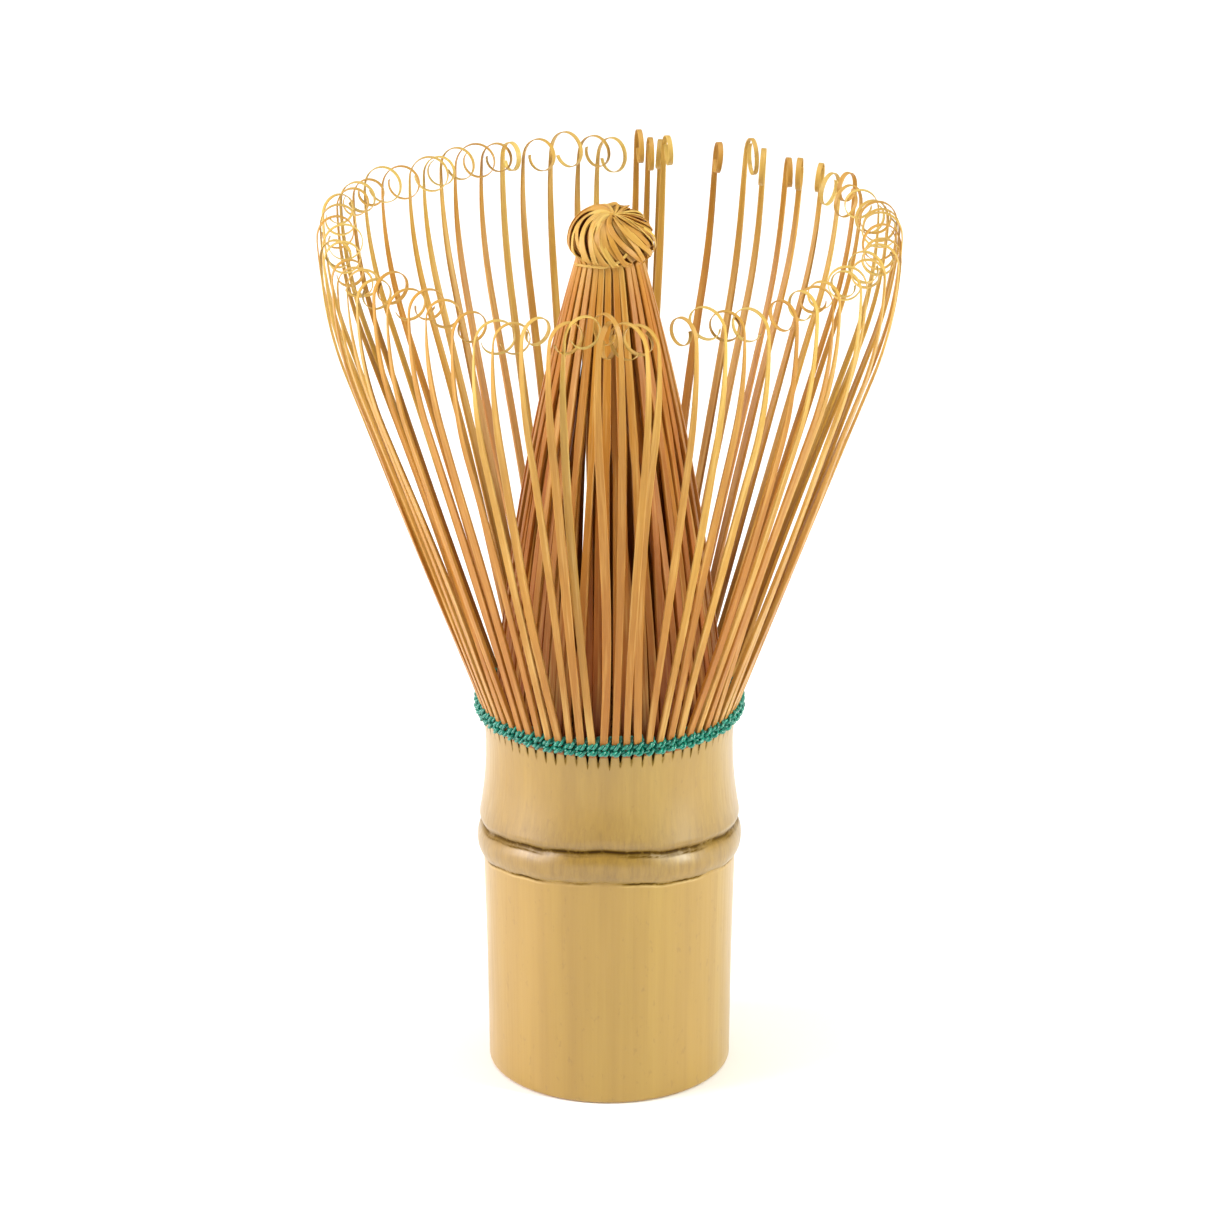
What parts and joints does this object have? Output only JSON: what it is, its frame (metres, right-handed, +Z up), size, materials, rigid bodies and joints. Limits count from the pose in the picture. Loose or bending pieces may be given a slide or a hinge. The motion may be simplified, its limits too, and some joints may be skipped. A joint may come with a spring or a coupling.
{
  "type": "bamboo tea whisk",
  "caption": "Bamboo whisk for powdered tea: hollow handle with a node ring, flared springy outer tines with curled tips, a gathered inner bundle and a woven binding thread.",
  "frame": {"origin": "centre of the foot, on the surface that the whisk stands on", "axes": "+Z up along the whisk's axis from the foot to the tines; the front of the pictured whisk faces -Y"},
  "size_m": [0.0642, 0.0642, 0.1009],
  "materials": {
    "culm_skin": "satin bamboo skin with fine fibres and mottling at the node",
    "culm_pith": "matte bamboo pith",
    "outer_tine": "satin shaved bamboo, pale and thin at the curls",
    "inner_tine": "satin shaved bamboo, warmer inside the cage",
    "thread": "twisted cotton thread"
  },
  "bodies": {
    "handle_body": {"handle": "culm_skin", "node_diaphragm": "culm_pith", "binding_thread": "thread", "thread_knot": "thread", "inner_tines_01": "inner_tine", "inner_tines_02": "inner_tine", "inner_tines_03": "inner_tine", "inner_tines_04": "inner_tine", "inner_tines_05": "inner_tine", "inner_tines_06": "inner_tine", "inner_tines_07": "inner_tine", "inner_tines_08": "inner_tine", "inner_tines_09": "inner_tine", "inner_tines_10": "inner_tine", "inner_tines_11": "inner_tine", "inner_tines_12": "inner_tine"},
    "outer_01": {"outer_tines_01": "outer_tine"},
    "outer_02": {"outer_tines_02": "outer_tine"},
    "outer_03": {"outer_tines_03": "outer_tine"},
    "outer_04": {"outer_tines_04": "outer_tine"},
    "outer_05": {"outer_tines_05": "outer_tine"},
    "outer_06": {"outer_tines_06": "outer_tine"},
    "outer_07": {"outer_tines_07": "outer_tine"},
    "outer_08": {"outer_tines_08": "outer_tine"},
    "outer_09": {"outer_tines_09": "outer_tine"},
    "outer_10": {"outer_tines_10": "outer_tine"},
    "outer_11": {"outer_tines_11": "outer_tine"},
    "outer_12": {"outer_tines_12": "outer_tine"},
    "outer_13": {"outer_tines_13": "outer_tine"},
    "outer_14": {"outer_tines_14": "outer_tine"},
    "outer_15": {"outer_tines_15": "outer_tine"},
    "outer_16": {"outer_tines_16": "outer_tine"},
    "outer_17": {"outer_tines_17": "outer_tine"},
    "outer_18": {"outer_tines_18": "outer_tine"}
  },
  "joints": [
    {"name": "flex_01", "type": "hinge", "parent": "handle_body", "child": "outer_01", "pos_m": [0.01359, 0.0024, 0.04335], "axis": [-0.1736, 0.9848, 0], "range_deg": [-4, 8], "stiffness_Nm_per_rad": 0.006},
    {"name": "flex_02", "type": "hinge", "parent": "handle_body", "child": "outer_02", "pos_m": [0.01195, 0.0069, 0.04335], "axis": [-0.5, 0.866, 0], "range_deg": [-4, 8], "stiffness_Nm_per_rad": 0.006},
    {"name": "flex_03", "type": "hinge", "parent": "handle_body", "child": "outer_03", "pos_m": [0.00887, 0.01057, 0.04335], "axis": [-0.766, 0.6428, 0], "range_deg": [-4, 8], "stiffness_Nm_per_rad": 0.006},
    {"name": "flex_04", "type": "hinge", "parent": "handle_body", "child": "outer_04", "pos_m": [0.00472, 0.01297, 0.04335], "axis": [-0.9397, 0.342, 0], "range_deg": [-4, 8], "stiffness_Nm_per_rad": 0.006},
    {"name": "flex_05", "type": "hinge", "parent": "handle_body", "child": "outer_05", "pos_m": [0, 0.0138, 0.04335], "axis": [-1, 0, 0], "range_deg": [-4, 8], "stiffness_Nm_per_rad": 0.006},
    {"name": "flex_06", "type": "hinge", "parent": "handle_body", "child": "outer_06", "pos_m": [-0.00472, 0.01297, 0.04335], "axis": [-0.9397, -0.342, 0], "range_deg": [-4, 8], "stiffness_Nm_per_rad": 0.006},
    {"name": "flex_07", "type": "hinge", "parent": "handle_body", "child": "outer_07", "pos_m": [-0.00887, 0.01057, 0.04335], "axis": [-0.766, -0.6428, 0], "range_deg": [-4, 8], "stiffness_Nm_per_rad": 0.006},
    {"name": "flex_08", "type": "hinge", "parent": "handle_body", "child": "outer_08", "pos_m": [-0.01195, 0.0069, 0.04335], "axis": [-0.5, -0.866, 0], "range_deg": [-4, 8], "stiffness_Nm_per_rad": 0.006},
    {"name": "flex_09", "type": "hinge", "parent": "handle_body", "child": "outer_09", "pos_m": [-0.01359, 0.0024, 0.04335], "axis": [-0.1736, -0.9848, 0], "range_deg": [-4, 8], "stiffness_Nm_per_rad": 0.006},
    {"name": "flex_10", "type": "hinge", "parent": "handle_body", "child": "outer_10", "pos_m": [-0.01359, -0.0024, 0.04335], "axis": [0.1736, -0.9848, 0], "range_deg": [-4, 8], "stiffness_Nm_per_rad": 0.006},
    {"name": "flex_11", "type": "hinge", "parent": "handle_body", "child": "outer_11", "pos_m": [-0.01195, -0.0069, 0.04335], "axis": [0.5, -0.866, 0], "range_deg": [-4, 8], "stiffness_Nm_per_rad": 0.006},
    {"name": "flex_12", "type": "hinge", "parent": "handle_body", "child": "outer_12", "pos_m": [-0.00887, -0.01057, 0.04335], "axis": [0.766, -0.6428, 0], "range_deg": [-4, 8], "stiffness_Nm_per_rad": 0.006},
    {"name": "flex_13", "type": "hinge", "parent": "handle_body", "child": "outer_13", "pos_m": [-0.00472, -0.01297, 0.04335], "axis": [0.9397, -0.342, 0], "range_deg": [-4, 8], "stiffness_Nm_per_rad": 0.006},
    {"name": "flex_14", "type": "hinge", "parent": "handle_body", "child": "outer_14", "pos_m": [0, -0.0138, 0.04335], "axis": [1, 0, 0], "range_deg": [-4, 8], "stiffness_Nm_per_rad": 0.006},
    {"name": "flex_15", "type": "hinge", "parent": "handle_body", "child": "outer_15", "pos_m": [0.00472, -0.01297, 0.04335], "axis": [0.9397, 0.342, 0], "range_deg": [-4, 8], "stiffness_Nm_per_rad": 0.006},
    {"name": "flex_16", "type": "hinge", "parent": "handle_body", "child": "outer_16", "pos_m": [0.00887, -0.01057, 0.04335], "axis": [0.766, 0.6428, 0], "range_deg": [-4, 8], "stiffness_Nm_per_rad": 0.006},
    {"name": "flex_17", "type": "hinge", "parent": "handle_body", "child": "outer_17", "pos_m": [0.01195, -0.0069, 0.04335], "axis": [0.5, 0.866, 0], "range_deg": [-4, 8], "stiffness_Nm_per_rad": 0.006},
    {"name": "flex_18", "type": "hinge", "parent": "handle_body", "child": "outer_18", "pos_m": [0.01359, -0.0024, 0.04335], "axis": [0.1736, 0.9848, 0], "range_deg": [-4, 8], "stiffness_Nm_per_rad": 0.006}
  ]
}
